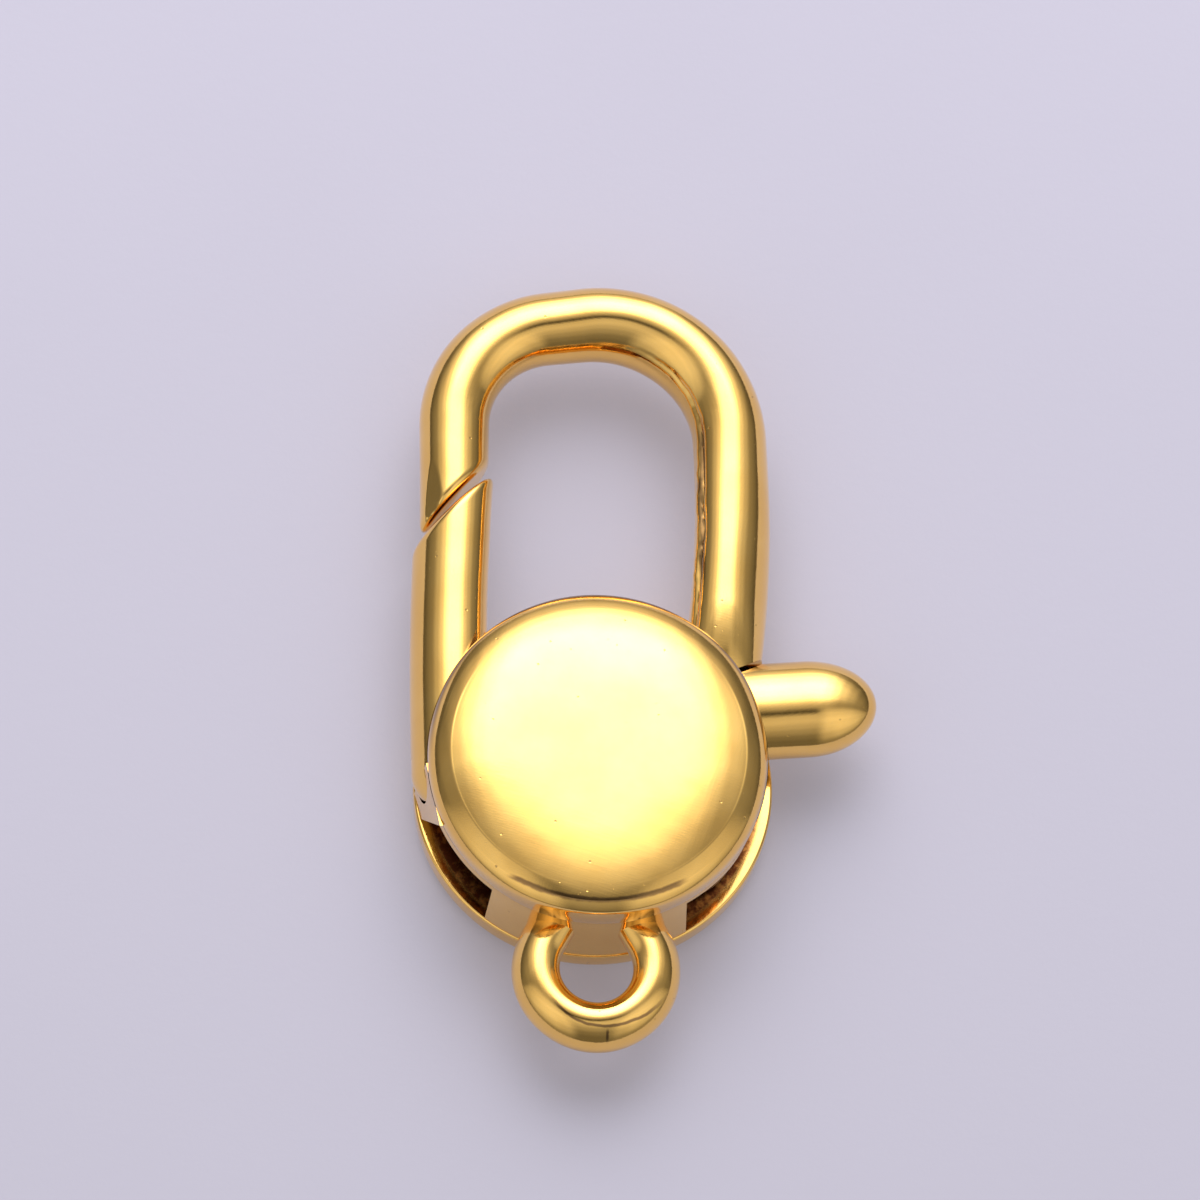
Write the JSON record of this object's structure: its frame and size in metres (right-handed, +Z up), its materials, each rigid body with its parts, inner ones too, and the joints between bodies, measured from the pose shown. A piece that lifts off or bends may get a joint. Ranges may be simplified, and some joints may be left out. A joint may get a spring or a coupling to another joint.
{
  "type": "lobster clasp",
  "caption": "Gold-plated lobster clasp with a round domed housing, a hooked loop closed by a sprung trigger lever, and a fixed U-shaped bail for a jump ring.",
  "frame": {"origin": "on the lever's pivot axis, in the plane of the flat back face that lies on the surface", "axes": "+Z up from the back face to the domed front disc; +Y from the housing to the hook's arch; +X to the thumb lever; -Y to the bail"},
  "size_m": [0.0144, 0.0249, 0.0051],
  "materials": {
    "plated_body": "polished",
    "plated_lever": "polished",
    "plated_pin": "polished",
    "spring_leaf": "satin"
  },
  "bodies": {
    "body": {"clasp_body": "plated_body", "pivot_pin": "plated_pin", "return_spring": "spring_leaf"},
    "lever": {"trigger_lever": "plated_lever"}
  },
  "joints": [
    {"name": "trigger_hinge", "type": "hinge", "parent": "body", "child": "lever", "pos_m": [0, 0, 0.00238], "axis": [0, 0, -1], "range_deg": [0, 28], "stiffness_Nm_per_rad": 0.02, "springref_deg": -22.92, "deforming": ["return_spring"]}
  ]
}
